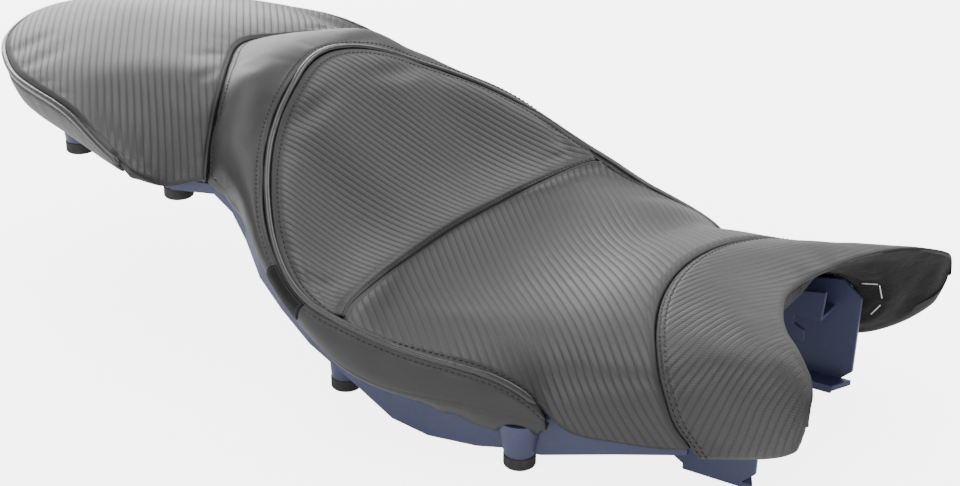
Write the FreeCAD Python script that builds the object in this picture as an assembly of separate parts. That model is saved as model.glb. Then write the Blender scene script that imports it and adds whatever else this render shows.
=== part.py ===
"""One-piece sport-touring motorcycle seat: moulded base pan, foam, sewn cover, fixings.

Millimetres. +X points to the front of the motorcycle, +Y to its left, +Z up.
The form is drawn from the tips of the front lobes (x = 0), the middle plane (y = 0)
and the plane of the lower rubber feet (z = 0). Every node is then moved so that the
origin is the centre of the latch striker's bar, where the seat locks to the frame.
"""

import FreeCAD
import Part

import math
import os

V = FreeCAD.Vector

# ---------------------------------------------------------------- driving dimensions
LATCH = V(-560, 0, 124)        # centre of the striker bar, in form coordinates
COVER = 2.4                    # vinyl with its scrim and thin backing foam
SEAM_GAP = 1.1                 # half the gap between neighbouring cover panels
CLEAR = 0.8                    # foam to cover, and foam to pan
PAN_WALL = 3.0
PAN_BROW = 13.0                # bevel between the pan's plate and its skirt
PIPING_R = 2.3
WELT_GAP = PIPING_R + 0.5      # from a piped seam's line to the panel's edge
WAIST = 0.27                   # share of the welt that faces the step seam
JUNCTION = 0.662               # share of the welt where the crossing seam meets it
RAIL_MARKS = 2001              # equally spaced marks kept along each rail

# Seams and edges, each from the middle plane to the left-hand end.
RIM = [(-748, 0, 190), (-739, 37, 188.5), (-718, 72, 185), (-698, 90, 183),
       (-662, 115, 181.5), (-605, 138, 181), (-559, 153, 176), (-526, 163, 165),
       (-506, 164, 156)]
PILLION_HEM = [(-736, 0, 167), (-727, 37, 165), (-707, 70, 161), (-689, 87, 158),
               (-655, 110, 155), (-600, 131, 153), (-554, 147, 151), (-525, 155, 148),
               (-506, 159, 146)]
STEP_SEAM = [(-529, 0, 199), (-517, 30, 197), (-500, 56, 195), (-486, 78, 191),
             (-477, 97, 175), (-470, 112, 158), (-460, 127, 143)]
RIDER_WELT = [(-452, 0, 206), (-449, 25, 203.5), (-441, 52, 195.5), (-430, 87, 178),
              (-407, 126, 157), (-386, 151, 139), (-361, 171, 119), (-338, 179, 104),
              (-303, 177, 92), (-262, 169, 81), (-219, 158, 75), (-188, 150, 66),
              (-170, 144, 50)]
CROSS_SEAM = [(-335, 0, 88), (-334, 60, 86.5), (-331, 90, 87), (-326, 120, 88),
              (-318, 150, 90), (-303, 177, 92)]
NOSE_SEAM = [(-143, 0, 109), (-140, 35, 107.5), (-134, 60, 104.5), (-124, 85, 100),
             (-113, 105, 93.5), (-104, 117, 84), (-96, 122, 70), (-90, 121, 55),
             (-83, 117, 43), (-76, 113, 31)]
ARCH_EDGE = [(-67, 0, 108), (-60, 30, 110.5), (-49, 55, 113), (-37, 75, 114.5),
             (-27, 87, 115), (-16, 101, 113), (-7, 113, 109), (-1, 128, 100),
             (0, 136, 91)]

# Side edges, from the rear or inner seam to the front one.
PILLION_SIDE = [(-460, 127, 143), (-476, 134, 139), (-488, 142, 137),
                (-497, 152, 143), (-506, 164, 156)]
RIDER_HEM = [(-460, 127, 143), (-439, 130, 132), (-410, 145, 121), (-378, 163, 102),
             (-350, 172, 82), (-326, 175, 66), (-303, 174, 54), (-277, 170, 47),
             (-221, 162, 46), (-188, 150, 40), (-170, 144, 38)]
FRONT_SIDE = [(-303, 177, 92), (-262, 169, 81), (-219, 158, 75), (-188, 150, 66),
              (-170, 144, 50), (-159, 140, 34), (-123, 130, 28), (-90, 118, 28),
              (-76, 113, 31)]
LOBE_SIDE = [(-76, 113, 31), (-58, 106, 33), (-44, 107, 38), (-29, 112, 46),
             (-14, 120, 58), (-5, 127, 70), (-1, 133, 80), (0, 136, 91)]

# Middle lines of the top panels.
PILLION_SPINE = [(-529, 0, 199), (-565, 0, 203), (-620, 0, 206), (-680, 0, 204),
                 (-725, 0, 197), (-748, 0, 190)]
REAR_SPINE = [(-335, 0, 88), (-362, 0, 104), (-390, 0, 132), (-420, 0, 170),
              (-440, 0, 195), (-452, 0, 206)]
FRONT_SPINE = [(-335, 0, 88), (-300, 0, 83), (-255, 0, 83), (-215, 0, 90),
               (-180, 0, 100), (-143, 0, 109)]
NOSE_SPINE = [(-143, 0, 109), (-120, 0, 110.5), (-92, 0, 110.5), (-67, 0, 108)]

# Pan stations: x, half width of the skirt, its lower edge and the top of the plate.
PAN = [(-720, 34, 166, 175), (-708, 55, 163, 175), (-692, 75, 159, 174),
       (-655, 100, 156, 174), (-600, 122, 153, 172), (-554, 136, 150, 168),
       (-520, 138, 143, 160), (-495, 128, 128, 151), (-462, 120, 129, 147),
       (-445, 121, 119, 145), (-431, 124, 102, 136), (-408, 138, 84, 118),
       (-380, 150, 72, 96), (-350, 158, 57, 74), (-315, 154, 34, 60),
       (-290, 146, 11, 53), (-263, 142, 4, 51), (-225, 140, 7, 53),
       (-207, 138, 10.5, 55), (-180, 132, 10.5, 60), (-133, 118, 19, 72),
       (-88, 104, 26, 82)]

# Rubber feet: name, x, y, height of the sole that rests on the motorcycle's frame, and
# the top of the boss above it (cut off at the plate).
FEET = [("front_feet", -195, 134, 0, 36), ("middle_feet", -356, 110, 0, 90),
        ("pillion_feet", -505, 110, 115, 170), ("rear_feet", -613, 100, 125, 180)]
FOOT_R = 11.0
FOOT_H = 9.0
SPIGOT_R = 4.0
SPIGOT_H = 8.0

# Side walls at the front, either side of the tank bracket: (x, z) of the wall and of the
# stepped hook rib, (x, y) of the tongue under the wall.
WALL_Y = 81.0
WALL = [(-150, 66), (-120, 18), (-100, 6), (-58, 6), (-49, 14), (-47, 72), (-62, 84),
        (-88, 80)]
TONGUE = [(-100, WALL_Y + PAN_WALL), (-93, 71), (-72, 68), (-58, 68),
          (-50, WALL_Y + PAN_WALL)]
TONGUE_Z = 2.0
TONGUE_T = 4.0
HOOK_Y = 56.0
HOOK = [(-108, 79), (-104, 52), (-84, 42), (-78, 42), (-78, 50), (-86, 54), (-86, 62),
        (-66, 62), (-64, 83), (-90, 79)]

# Ribs under the plate.
RIB_X = (-250, -300, -345, -400, -470, -655)
RIB_Y = 48.0
RIB_T = 2.2
RIB_DEPTH = 11.0

STRIKER_R = 4.0
STRIKER_HALF = 20.0
LATCH_PLATE = V(56, 76, 2.5)
LATCH_BOLTS = [(-18, -29), (-18, 29), (18, -29), (18, 29)]
LATCH_BOSS_R = 7.5
LATCH_BOSS_Z = 157.0
INSERT_R = 4.0
SCREW_R = 2.95
SCREW_HEAD_R = 5.4
SCREW_HEAD_H = 3.2
WASHER_R = 6.2
WASHER_T = 1.2

# Foam: its distance under the cover, and its stations.
FOAM_SKIN = 7.0
FOAM_STATIONS = [-722, -712, -695, -655, -600, -554, -520, -495, -478, -462, -445, -431,
                 -408, -380, -350, -315, -290, -263, -230, -195, -178, -133, -110, -101]

# Felt lining under the nose.
LINING_INNER = [(-97, 0, 90), (-92, 45, 89), (-82, 76, 87.5), (-66, 88, 80),
                (-56, 91, 62), (-66, 95, 37)]
LINING_OUTER = [(-72, 0, 101.5), (-65, 30, 104), (-55, 54, 106), (-45, 72, 107),
                (-36, 83, 106.5), (-27, 95, 104), (-20, 103, 99), (-15, 111.5, 91),
                (-13, 117, 85.5)]
LINING_SIDE = [(-66, 95, 37), (-48, 99, 43), (-37, 101.5, 51), (-26, 107, 62),
               (-19.5, 111.5, 72), (-15, 115, 79), (-13, 117, 85.5)]
LINING_SPINE = [(-97, 0, 90), (-84, 0, 96.5), (-72, 0, 101.5)]
LINING_T = 1.2

# Blank side tag: its shares of the bolster's side, along it and across it.
TAG_ALONG = (0.33, 0.44)
TAG_ACROSS = (0.10, 0.72)
TAG_T = 0.7

# Wire staples that hold the lining: share across it from the pan outwards, share along
# it from the right to the left, and turn in degrees. Each has a mirror image.
STAPLES = [(0.10, 0.50, 60), (0.10, 0.60, 29), (0.08, 0.68, 73), (0.40, 0.73, 39),
           (0.45, 0.80, -69), (0.30, 0.87, -19)]
STAPLE_CROWN = 11.0
STAPLE_WIRE = 0.8


# ---------------------------------------------------------------- curves and patches
def blend(a, b, share):
    return a * (1 - share) + b * share


class Rail:
    """A spline through points, read by its share of length. A mirrored rail runs over
    both sides and is read from -1 (right) to 1 (left)."""

    def __init__(self, points, mirrored=False):
        points = [V(*p) for p in points]
        if mirrored:
            points = [V(p.x, -p.y, p.z) for p in reversed(points[1:])] + points
        spline = Part.BSplineCurve()
        spline.interpolate(points)
        self.marks = spline.toShape().discretize(Number=RAIL_MARKS)
        self.mirrored = mirrored

    def at(self, share):
        if self.mirrored:
            share = 0.5 + 0.5 * share
        place = min(max(share, 0.0), 1.0) * (RAIL_MARKS - 1)
        k = min(int(place), RAIL_MARKS - 2)
        return blend(self.marks[k], self.marks[k + 1], place - k)


class Stretch:
    """Part of a rail, read from 0 to 1."""

    def __init__(self, rail, start, end):
        self.rail = rail
        self.start = start
        self.end = end

    def at(self, share):
        return self.rail.at(self.start + (self.end - self.start) * share)


def panel(rear, front, spine, side, fall, crest=0, lean=0):
    """A panel between two seams. It leaves the spine level and falls towards the side
    edge by the power fall; y spreads evenly. A crest of that height swells three
    quarters of the way to the side edge, and may lean outwards. Returns point(u, v),
    u from rear to front and v from right to left."""

    def point(u, v):
        w = abs(v)
        height = w ** fall
        flat = blend(spine.at(u), side.at(u), height)
        even = blend(spine.at(u), side.at(u), w)
        for seam, weight in ((rear, 1 - u), (front, u)):
            here = seam.at(w)
            flat += (here - blend(seam.at(0), seam.at(1), height)) * weight
            even += (here - blend(seam.at(0), seam.at(1), w)) * weight
        swell = math.sin(math.pi * u) * w ** 3 * (1 - w) * 256 / 27
        return V(flat.x, math.copysign(even.y + lean * swell, v), flat.z + crest * swell)

    return point


def strip(inner, outer, swell):
    """A band between two rails that swells outwards by the vector swell(t)."""

    def point(u, v):
        w = abs(v)
        p = blend(inner.at(w), outer.at(w), u) + swell(w) * (4 * u * (1 - u))
        return V(p.x, math.copysign(p.y, v), p.z)

    return point


def between(keys):
    """Vector that runs in straight steps through (share, vector) pairs."""

    def value(share):
        for (a, va), (b, vb) in zip(keys, keys[1:]):
            if share <= b:
                return blend(va, vb, (share - a) / (b - a))
        return keys[-1][1]

    return value


rim = Rail(RIM, True)
pillion_hem = Rail(PILLION_HEM, True)
step_seam = Rail(STEP_SEAM, True)
rider_welt = Rail(RIDER_WELT, True)
cross_seam = Rail(CROSS_SEAM, True)
nose_seam = Rail(NOSE_SEAM, True)
arch_edge = Rail(ARCH_EDGE, True)
rider_hem = Rail(RIDER_HEM)

welt_rear = Stretch(rider_welt, 0, JUNCTION - 0.012)
welt_side = Stretch(rider_welt, WAIST, 1)
junction_side = Stretch(rider_welt, JUNCTION, JUNCTION - 0.012)

pillion_top = panel(step_seam, rim, Rail(PILLION_SPINE), Rail(PILLION_SIDE), 2.4)
rider_rear = panel(cross_seam, welt_rear, Rail(REAR_SPINE), junction_side, 2.5)
rider_front = panel(cross_seam, nose_seam, Rail(FRONT_SPINE), Rail(FRONT_SIDE), 2.8,
                    crest=10, lean=2)
nose_top = panel(nose_seam, arch_edge, Rail(NOSE_SPINE), Rail(LOBE_SIDE), 2.6,
                 crest=5, lean=6)
pillion_band = strip(rim, pillion_hem, between([
    (0, V(-3, 0, 0)), (0.3, V(-2, 2, 0)), (0.5, V(0, 3, 0)), (1, V(0, 1, 0))]))
bolster_swell = between([
    (0, V(0, 0, 6)), (WAIST, V(-2, 9, 13)), (0.45, V(0, 11, 10)), (0.65, V(0, 7, 3)),
    (1, V(0, 1, 0))])
bolster_back = strip(Stretch(rider_welt, 0, WAIST), step_seam,
                     lambda w: bolster_swell(w * WAIST))
bolster_side = strip(welt_side, rider_hem,
                     lambda w: bolster_swell(WAIST + w * (1 - WAIST)))

# ---------------------------------------------------------------- sheets and solids
def normal_at(grid, i, j):
    a = grid[min(i + 1, len(grid) - 1)][j] - grid[max(i - 1, 0)][j]
    b = grid[i][min(j + 1, len(grid[0]) - 1)] - grid[i][max(j - 1, 0)]
    return a.cross(b).normalize()


def sheet(point, thickness=COVER, gaps=(0, 0, 0), span=(-1, 1), rows=13, columns=41,
          out=1, lift=0.0):
    """A solid sheet whose outer face is point(u, v) drawn in by the gaps (mm) at its
    first rail, its second rail and its ends. lift moves it along the outward normal."""
    first, second, ends = gaps
    v0, v1 = span
    grid = []
    for i in range(rows):
        row = []
        for j in range(columns):
            v = v0 + (v1 - v0) * j / (columns - 1)
            u = i / (rows - 1)
            across = max((point(u, v1) - point(u, v0)).Length, 1.0)
            v = (v0 + v1) / 2 + (v - (v0 + v1) / 2) * (1 - 2 * ends / across)
            along = (point(1, v) - point(0, v)).Length
            start = min(first / max(along, 1.0), 0.35)
            end = min(second / max(along, 1.0), 0.35)
            row.append(point(start + (1 - start - end) * u, v))
        grid.append(row)
    outer = []
    inner = []
    for i in range(rows):
        outer.append([])
        inner.append([])
        for j in range(columns):
            n = normal_at(grid, i, j) * out
            outer[i].append(grid[i][j] + n * lift)
            inner[i].append(grid[i][j] + n * (lift - thickness))
    return between_grids(outer, inner)


def between_grids(outer, inner):
    surfaces = []
    for grid in (outer, inner):
        surface = Part.BSplineSurface()
        surface.interpolate(grid)
        surfaces.append(surface)
    faces = [s.toShape() for s in surfaces]
    u0, u1, v0, v1 = surfaces[0].bounds()
    p0, p1, q0, q1 = surfaces[1].bounds()
    for a, b in ((surfaces[0].uIso(u0), surfaces[1].uIso(p0)),
                 (surfaces[0].uIso(u1), surfaces[1].uIso(p1)),
                 (surfaces[0].vIso(v0), surfaces[1].vIso(q0)),
                 (surfaces[0].vIso(v1), surfaces[1].vIso(q1))):
        faces.append(Part.makeRuledSurface(a.toShape(), b.toShape()))
    return solid_of(faces)


def solid_of(faces):
    shell = Part.makeShell(faces)
    shell.sewShape()
    solid = Part.makeSolid(shell)
    if solid.Volume < 0:
        solid.reverse()
    return solid


def cable(rail, radius, start=-1, end=1):
    """A round cord along a rail."""
    points = [rail.at(start + (end - start) * k / 80) for k in range(81)]
    spline = Part.BSplineCurve()
    spline.interpolate(points)
    edge = spline.toShape()
    ring = Part.Wire(Part.makeCircle(radius, points[0], edge.tangentAt(edge.FirstParameter)))
    return Part.Wire(edge).makePipeShell([ring], True, True)


def mirror(shape):
    return shape.mirror(V(0, 0, 0), V(0, 1, 0))


def polygon(points):
    return Part.Face(Part.makePolygon([V(*p) for p in points] + [V(*points[0])]))


def pan_at(x):
    """Half width, lower edge and plate height of the pan at x."""
    for a, b in zip(PAN, PAN[1:]):
        if x <= b[0]:
            share = max((x - a[0]) / (b[0] - a[0]), 0)
            return [p + (q - p) * share for p, q in zip(a[1:], b[1:])]
    return list(PAN[-1][1:])


# ---------------------------------------------------------------- the pan
def tray():
    """Plate and skirt: an upturned tray that follows the seat."""
    w = PAN_WALL
    rings = []
    for x, y, low, top in PAN:
        brow = top - min(PAN_BROW, 0.6 * (top - low))
        half = [(y, low), (y, brow), (y - PAN_BROW, top)]
        inside = [(y - PAN_BROW - 1, top - w), (y - w, brow - 1), (y - w, low)]
        ring = [(a, b) for a, b in half] + [(-a, b) for a, b in reversed(half)]
        ring += [(-a, b) for a, b in reversed(inside)] + inside
        rings.append(Part.makePolygon([V(x, *p) for p in ring + ring[:1]]))
    body = Part.makeLoft(rings, True, True)
    x, y, low, top = PAN[0]
    end = Part.makeBox(w, 2 * y, top - low, V(x - w, -y, low))
    return body.fuse(end)


def under_plate():
    """The space under the top of the plate, wide enough to keep all that hangs there."""
    rings = []
    for x, y, low, top in PAN:
        half = [(y + 30, -50), (y + 30, top - PAN_BROW), (y, top - PAN_BROW),
                (y - PAN_BROW, top - 0.5)]
        ring = half + [(-a, b) for a, b in reversed(half)]
        rings.append(Part.makePolygon([V(x, *p) for p in ring + ring[:1]]))
    return Part.makeLoft(rings, True, True)


def boss(x, y, low, top):
    """Conical boss that carries a rubber foot."""
    start = low + FOOT_H
    return Part.makeCone(FOOT_R - 0.5, FOOT_R + 5, top - start, V(x, y, start))


def front_wall():
    """Left side wall at the front, its inward tongue and the stepped hook rib."""
    y = WALL_Y
    wall = polygon([(x, y, z) for x, z in WALL]).extrude(V(0, PAN_WALL, 0))
    tongue = polygon([(a, b, TONGUE_Z) for a, b in TONGUE]).extrude(V(0, 0, TONGUE_T))
    lip = Part.makeBox(16, 3, TONGUE_T, V(-75, 68, TONGUE_Z - 2))
    hook = polygon([(x, HOOK_Y, z) for x, z in HOOK]).extrude(V(0, PAN_WALL, 0))
    shelf = Part.makeBox(20, y - HOOK_Y, PAN_WALL, V(-86, HOOK_Y + 1, 60))
    cross = Part.makeBox(PAN_WALL, y - HOOK_Y, 30, V(-106, HOOK_Y + 1, 50))
    return wall.multiFuse([tongue, lip, hook, shelf, cross])


def stiffeners():
    """Crossing ribs under the plate."""
    ribs = []
    for x in RIB_X:
        y, low, top = pan_at(x)
        corner = V(x, 2 - y, top - PAN_WALL - RIB_DEPTH + 1.5)
        ribs.append(Part.makeBox(RIB_T, 2 * y - 4, RIB_DEPTH, corner))
    for y in (-RIB_Y, RIB_Y):
        for a, b in zip(PAN[4:-1], PAN[5:]):
            quad = polygon([(a[0], y, a[3] - 1), (b[0], y, b[3] - 1),
                            (b[0], y, b[3] - RIB_DEPTH - 2), (a[0], y, a[3] - RIB_DEPTH - 2)])
            ribs.append(quad.extrude(V(0, RIB_T, 0)))
    return ribs


def seat_pan():
    hanging = stiffeners()
    for name, x, y, low, top in FEET:
        hanging += [boss(x, y, low, top), boss(x, -y, low, top)]
    for dx, dy in LATCH_BOLTS:
        hanging.append(Part.makeCylinder(LATCH_BOSS_R, 20,
                                         V(LATCH.x + dx, dy, LATCH_BOSS_Z)))
    limit = under_plate()
    hanging = [piece.common(limit) for piece in hanging]
    wall = front_wall()
    pan = tray().multiFuse(hanging + [wall, mirror(wall)])
    for name, x, y, low, top in FEET:
        for side in (y, -y):
            pan = pan.cut(Part.makeCylinder(SPIGOT_R + 0.2, SPIGOT_H + 0.5,
                                            V(x, side, low + FOOT_H)))
    for dx, dy in LATCH_BOLTS:
        pan = pan.cut(Part.makeCylinder(INSERT_R, 9, V(LATCH.x + dx, dy, LATCH_BOSS_Z)))
    return pan.removeSplitter()


# ---------------------------------------------------------------- hardware
def feet(x, y, low):
    """A pair of pressed-in rubber feet with rounded soles."""
    sole = Part.makeCylinder(FOOT_R, FOOT_H - 0.05, V(x, y, low))
    sole = sole.makeFillet(2.0, [e for e in sole.Edges if e.BoundBox.ZMax < low + 0.1])
    foot = sole.fuse(Part.makeCylinder(SPIGOT_R, SPIGOT_H, V(x, y, low + FOOT_H - 0.1)))
    foot = foot.removeSplitter()
    return Part.makeCompound([foot, mirror(foot)])


def latch_plate():
    top = LATCH_BOSS_Z
    corner = V(LATCH.x - LATCH_PLATE.x / 2, -LATCH_PLATE.y / 2, top - LATCH_PLATE.z)
    plate = Part.makeBox(LATCH_PLATE.x, LATCH_PLATE.y, LATCH_PLATE.z, corner)
    upright = [e for e in plate.Edges if e.BoundBox.ZLength > 2]
    plate = plate.makeFillet(8, upright)
    for dx, dy in LATCH_BOLTS:
        plate = plate.cut(Part.makeCylinder(3.3, 4, V(LATCH.x + dx, dy, top - 3.5)))
    return plate


def latch_striker():
    """Round steel loop, welded under its plate, that the seat lock's hook closes on."""
    x, z = LATCH.x, LATCH.z
    half, bend = STRIKER_HALF, 8.0
    top = LATCH_BOSS_Z - LATCH_PLATE.z
    corner = bend * (1 - math.sqrt(0.5))
    path = Part.Wire([
        Part.makeLine(V(x, half, top), V(x, half, z + bend)),
        Part.Arc(V(x, half, z + bend), V(x, half - corner, z + corner),
                 V(x, half - bend, z)).toShape(),
        Part.makeLine(V(x, half - bend, z), V(x, bend - half, z)),
        Part.Arc(V(x, bend - half, z), V(x, corner - half, z + corner),
                 V(x, -half, z + bend)).toShape(),
        Part.makeLine(V(x, -half, z + bend), V(x, -half, top))])
    ring = Part.Wire(Part.makeCircle(STRIKER_R, V(x, half, top), V(0, 0, 1)))
    return path.makePipeShell([ring], True, False)


def at_bolts(make):
    return Part.makeCompound([make(LATCH.x + dx, dy) for dx, dy in LATCH_BOLTS])


def latch_washer(x, y):
    low = LATCH_BOSS_Z - LATCH_PLATE.z - WASHER_T
    disc = Part.makeCylinder(WASHER_R, WASHER_T, V(x, y, low))
    return disc.cut(Part.makeCylinder(3.2, WASHER_T, V(x, y, low)))


def latch_screw(x, y):
    """Button-head screw with a hexagon socket, entered from below."""
    low = LATCH_BOSS_Z - LATCH_PLATE.z - WASHER_T - SCREW_HEAD_H
    head = Part.makeCylinder(SCREW_HEAD_R, SCREW_HEAD_H, V(x, y, low))
    head = head.makeFillet(1.6, [e for e in head.Edges if e.BoundBox.ZMax < low + 0.1])
    corners = [V(x + 2.3 * math.cos(k * math.pi / 3), y + 2.3 * math.sin(k * math.pi / 3), low)
               for k in range(7)]
    socket = Part.Face(Part.makePolygon(corners)).extrude(V(0, 0, 2))
    shank = Part.makeCylinder(SCREW_R, 12, V(x, y, low + SCREW_HEAD_H - 0.1))
    return head.cut(socket).fuse(shank).removeSplitter()


def latch_insert(x, y):
    sleeve = Part.makeCylinder(INSERT_R - 0.02, 7.5, V(x, y, LATCH_BOSS_Z))
    return sleeve.cut(Part.makeCylinder(SCREW_R + 0.05, 7.5, V(x, y, LATCH_BOSS_Z)))


# ---------------------------------------------------------------- foam
def foam_cushion():
    """One moulded foam, from the pan's plate to just under the cover."""
    cloud = []
    for surface in (pillion_top, rider_rear, rider_front, nose_top, bolster_back):
        cloud += [surface(i / 16, j / 24) for i in range(17) for j in range(25)]
    cloud += [bolster_side(i / 8, j / 24) for i in range(9) for j in range(25)]

    def height(x, y):
        near = sorted((math.hypot(p.x - x, p.y - y), p.z) for p in cloud)[:6]
        return min(z for d, z in near)

    rings = []
    for x in FOAM_STATIONS:
        y, low, plate = pan_at(x)
        y -= PAN_BROW + 1
        floor = plate + CLEAR
        tops = []
        for share in (0, 0.3, 0.6, 0.85, 1):
            limit = height(x, share * y) - FOAM_SKIN
            tops.append(V(x, share * y, max(limit, floor + 2)))
        half = [V(x, y, floor)] + tops[::-1]
        ring = half + [V(p.x, -p.y, p.z) for p in reversed(half[:-1])]
        rings.append(Part.makePolygon(ring + [ring[0]]))
    return Part.makeLoft(rings, True, True)


# ---------------------------------------------------------------- nose lining and staples
nose_under = panel(Rail(LINING_INNER, True), Rail(LINING_OUTER, True),
                   Rail(LINING_SPINE), Rail(LINING_SIDE), 2.0)


def nose_staples():
    staples = []
    for u, v, turn in STAPLES:
        p = nose_under(u, v)
        a = (nose_under(u + 0.05, v) - p).normalize()
        b = (nose_under(u, v + 0.02) - p).normalize()
        n = b.cross(a).normalize()
        if n.z > 0:
            n = n * -1
        along = a * math.cos(math.radians(turn)) + b * math.sin(math.radians(turn))
        along = (along - n * along.dot(n)).normalize() * STAPLE_CROWN
        side = n.cross(along).normalize() * STAPLE_WIRE
        base = p + n * 0.25 - along * 0.5 - side * 0.5
        quad = [base, base + along, base + along + side, base + side]
        bar = polygon(quad).extrude(n * STAPLE_WIRE * 0.7)
        staples += [bar, mirror(bar)]
    return Part.makeCompound(staples)


def side_tag():
    """Small blank tag sewn into the welt on the right-hand side."""
    first, last = TAG_ACROSS
    return sheet(lambda u, v: bolster_side(first + (last - first) * u, -v),
                 thickness=TAG_T, span=TAG_ALONG, rows=7, columns=9, lift=TAG_T + 0.25)


def bolster():
    """Plain bolster: the part behind the rider and its two side bands, sewn as one."""
    back = sheet(bolster_back, gaps=(WELT_GAP + 0.4, SEAM_GAP, 0), rows=7, columns=31, out=-1)
    left = sheet(bolster_side, gaps=(WELT_GAP + 0.4, 0, 0), span=(1e-6, 1), rows=7, columns=41,
                 out=-1)
    return back.multiFuse([left, mirror(left)]).removeSplitter()


NODES = {
    "seat_pan": seat_pan,
    "foam_cushion": foam_cushion,
    "pillion_panel": lambda: sheet(pillion_top, gaps=(SEAM_GAP, 2 * WELT_GAP, 0)),
    "pillion_side_band": lambda: sheet(pillion_band, gaps=(WELT_GAP + 0.4, 0, 4),
                                       rows=7, columns=61, out=-1),
    "bolster_panel": bolster,
    "rider_rear_panel": lambda: sheet(rider_rear, gaps=(SEAM_GAP, 2.2 * WELT_GAP, 10)),
    "rider_front_panel": lambda: sheet(rider_front, rows=25,
                                       gaps=(SEAM_GAP, SEAM_GAP, WELT_GAP + 2.2)),
    "nose_panel": lambda: sheet(nose_top, gaps=(SEAM_GAP, 0, 0)),
    "nose_lining": lambda: sheet(nose_under, thickness=LINING_T, out=-1),
    "nose_staples": nose_staples,
    "pillion_piping": lambda: cable(rim, PIPING_R),
    "rider_piping": lambda: cable(rider_welt, PIPING_R, -0.985, 0.985),
    "side_tag": side_tag,
    "latch_plate": latch_plate,
    "latch_striker": latch_striker,
    "latch_washers": lambda: at_bolts(latch_washer),
    "latch_screws": lambda: at_bolts(latch_screw),
    "latch_inserts": lambda: at_bolts(latch_insert),
}
for foot_name, foot_x, foot_y, foot_low, foot_top in FEET:
    NODES[foot_name] = lambda x=foot_x, y=foot_y, low=foot_low: feet(x, y, low)


def main():
    os.makedirs("parts", exist_ok=True)
    for name, make in NODES.items():
        shape = make()
        shape.translate(LATCH * -1)
        shape.exportStep("parts/" + name + ".step")


if __name__ == "__main__":
    main()
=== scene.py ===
import math

import bpy
import numpy as np
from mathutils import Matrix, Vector
from mathutils.bvhtree import BVHTree
from mathutils.kdtree import KDTree
from mathutils.noise import noise as perlin


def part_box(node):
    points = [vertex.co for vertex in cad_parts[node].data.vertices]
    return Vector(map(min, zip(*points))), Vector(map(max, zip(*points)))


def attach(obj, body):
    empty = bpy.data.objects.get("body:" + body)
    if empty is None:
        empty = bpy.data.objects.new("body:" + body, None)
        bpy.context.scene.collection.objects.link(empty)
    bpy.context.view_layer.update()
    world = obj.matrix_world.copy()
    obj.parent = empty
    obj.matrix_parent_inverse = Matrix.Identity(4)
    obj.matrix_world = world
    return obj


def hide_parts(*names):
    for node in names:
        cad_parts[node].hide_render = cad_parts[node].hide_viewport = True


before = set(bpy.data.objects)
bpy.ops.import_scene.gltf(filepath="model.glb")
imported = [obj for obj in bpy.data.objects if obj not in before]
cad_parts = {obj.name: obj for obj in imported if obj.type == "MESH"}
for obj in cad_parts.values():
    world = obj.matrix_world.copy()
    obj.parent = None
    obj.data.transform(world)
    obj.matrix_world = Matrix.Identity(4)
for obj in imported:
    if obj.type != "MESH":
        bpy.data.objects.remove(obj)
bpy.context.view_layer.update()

# Lengths are in millimetres until a mesh is made.
MM = 0.001
RIB = 5.4                 # pitch of the ribs in the carbon-look vinyl
STRAND = 2.2              # pitch of the strands along a rib
CORD_R = 2.3              # covered cord in the welts
WELD = 0.004              # CAD vertices closer than this are one
CLOTH_CELL = 5.0          # grid cell of the simulated cloth
CLOTH_FRAMES = 20
GROWTH = 0.003            # how much longer the cover is cut than its place
PUFF = 2.2                # no point of the cover is pushed out further than this
GROOVE = 0.45             # depth that a row of stitches pulls the cover in
GROOVE_WIDTH = 0.9

# Places along the seat, whose front is at high x.
WAIST_X = math.floor(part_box("rider_rear_panel")[0].x / MM)
FLANK_X = 235             # middle of the rider's side
CORD_END_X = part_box("bolster_panel")[1].x / MM
AXIS_REAR, AXIS_FRONT, AXIS_Z = -110, 400, -170     # a line under the seat, inside it

FORWARD, REARWARD, UP, UP_FORWARD = (1, 0, 0), (-1, 0, 0), (0, 0, 1), (1, 0, 1)
EDGES = ("first", "second", "right", "left")
LINES = {}                # sewn lines by name: (points, normals)


# ---------------------------------------------------------------- reading the CAD sheets
def read(items, key, width, kind=np.float32):
    """A property of all items of a mesh, one row for each."""
    values = np.empty(len(items) * width, kind)
    items.foreach_get(key, values)
    return values.reshape(-1, width)


def cad_faces(node):
    """Joined vertices, triangles, and for each triangle the CAD face that it belongs to,
    which is known by its lowest vertex: CAD faces share no vertices before joining."""
    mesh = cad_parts[node].data
    co = read(mesh.vertices, "co", 3).astype(float) / MM
    mesh.calc_loop_triangles()
    tri = read(mesh.loop_triangles, "vertices", 3, np.int32)
    face = np.arange(len(co))
    while True:
        lowest = face[tri].min(axis=1)
        before = face.copy()
        for k in range(3):
            np.minimum.at(face, tri[:, k], lowest)
        face = face[face]
        if (face == before).all():
            break
    keys = np.round(co / WELD).astype(np.int64)
    _, first, index = np.unique(keys, axis=0, return_index=True, return_inverse=True)
    face = face[tri[:, 0]]
    tri = index.reshape(-1)[tri]
    good = (tri[:, 0] != tri[:, 1]) & (tri[:, 1] != tri[:, 2]) & (tri[:, 2] != tri[:, 0])
    return co[first], tri[good], face[good]


def surface_tree(co, tri):
    return BVHTree.FromPolygons([tuple(p) for p in co], tri.tolist())


def point_tree(points):
    tree = KDTree(len(points))
    for k, p in enumerate(points):
        tree.insert(p, k)
    tree.balance()
    return tree


def inside(points):
    """The nearest place on a line that runs through the seat under its cover."""
    axis = np.zeros_like(points)
    axis[..., 0] = np.clip(points[..., 0], AXIS_REAR, AXIS_FRONT)
    axis[..., 2] = AXIS_Z
    return axis


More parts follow.
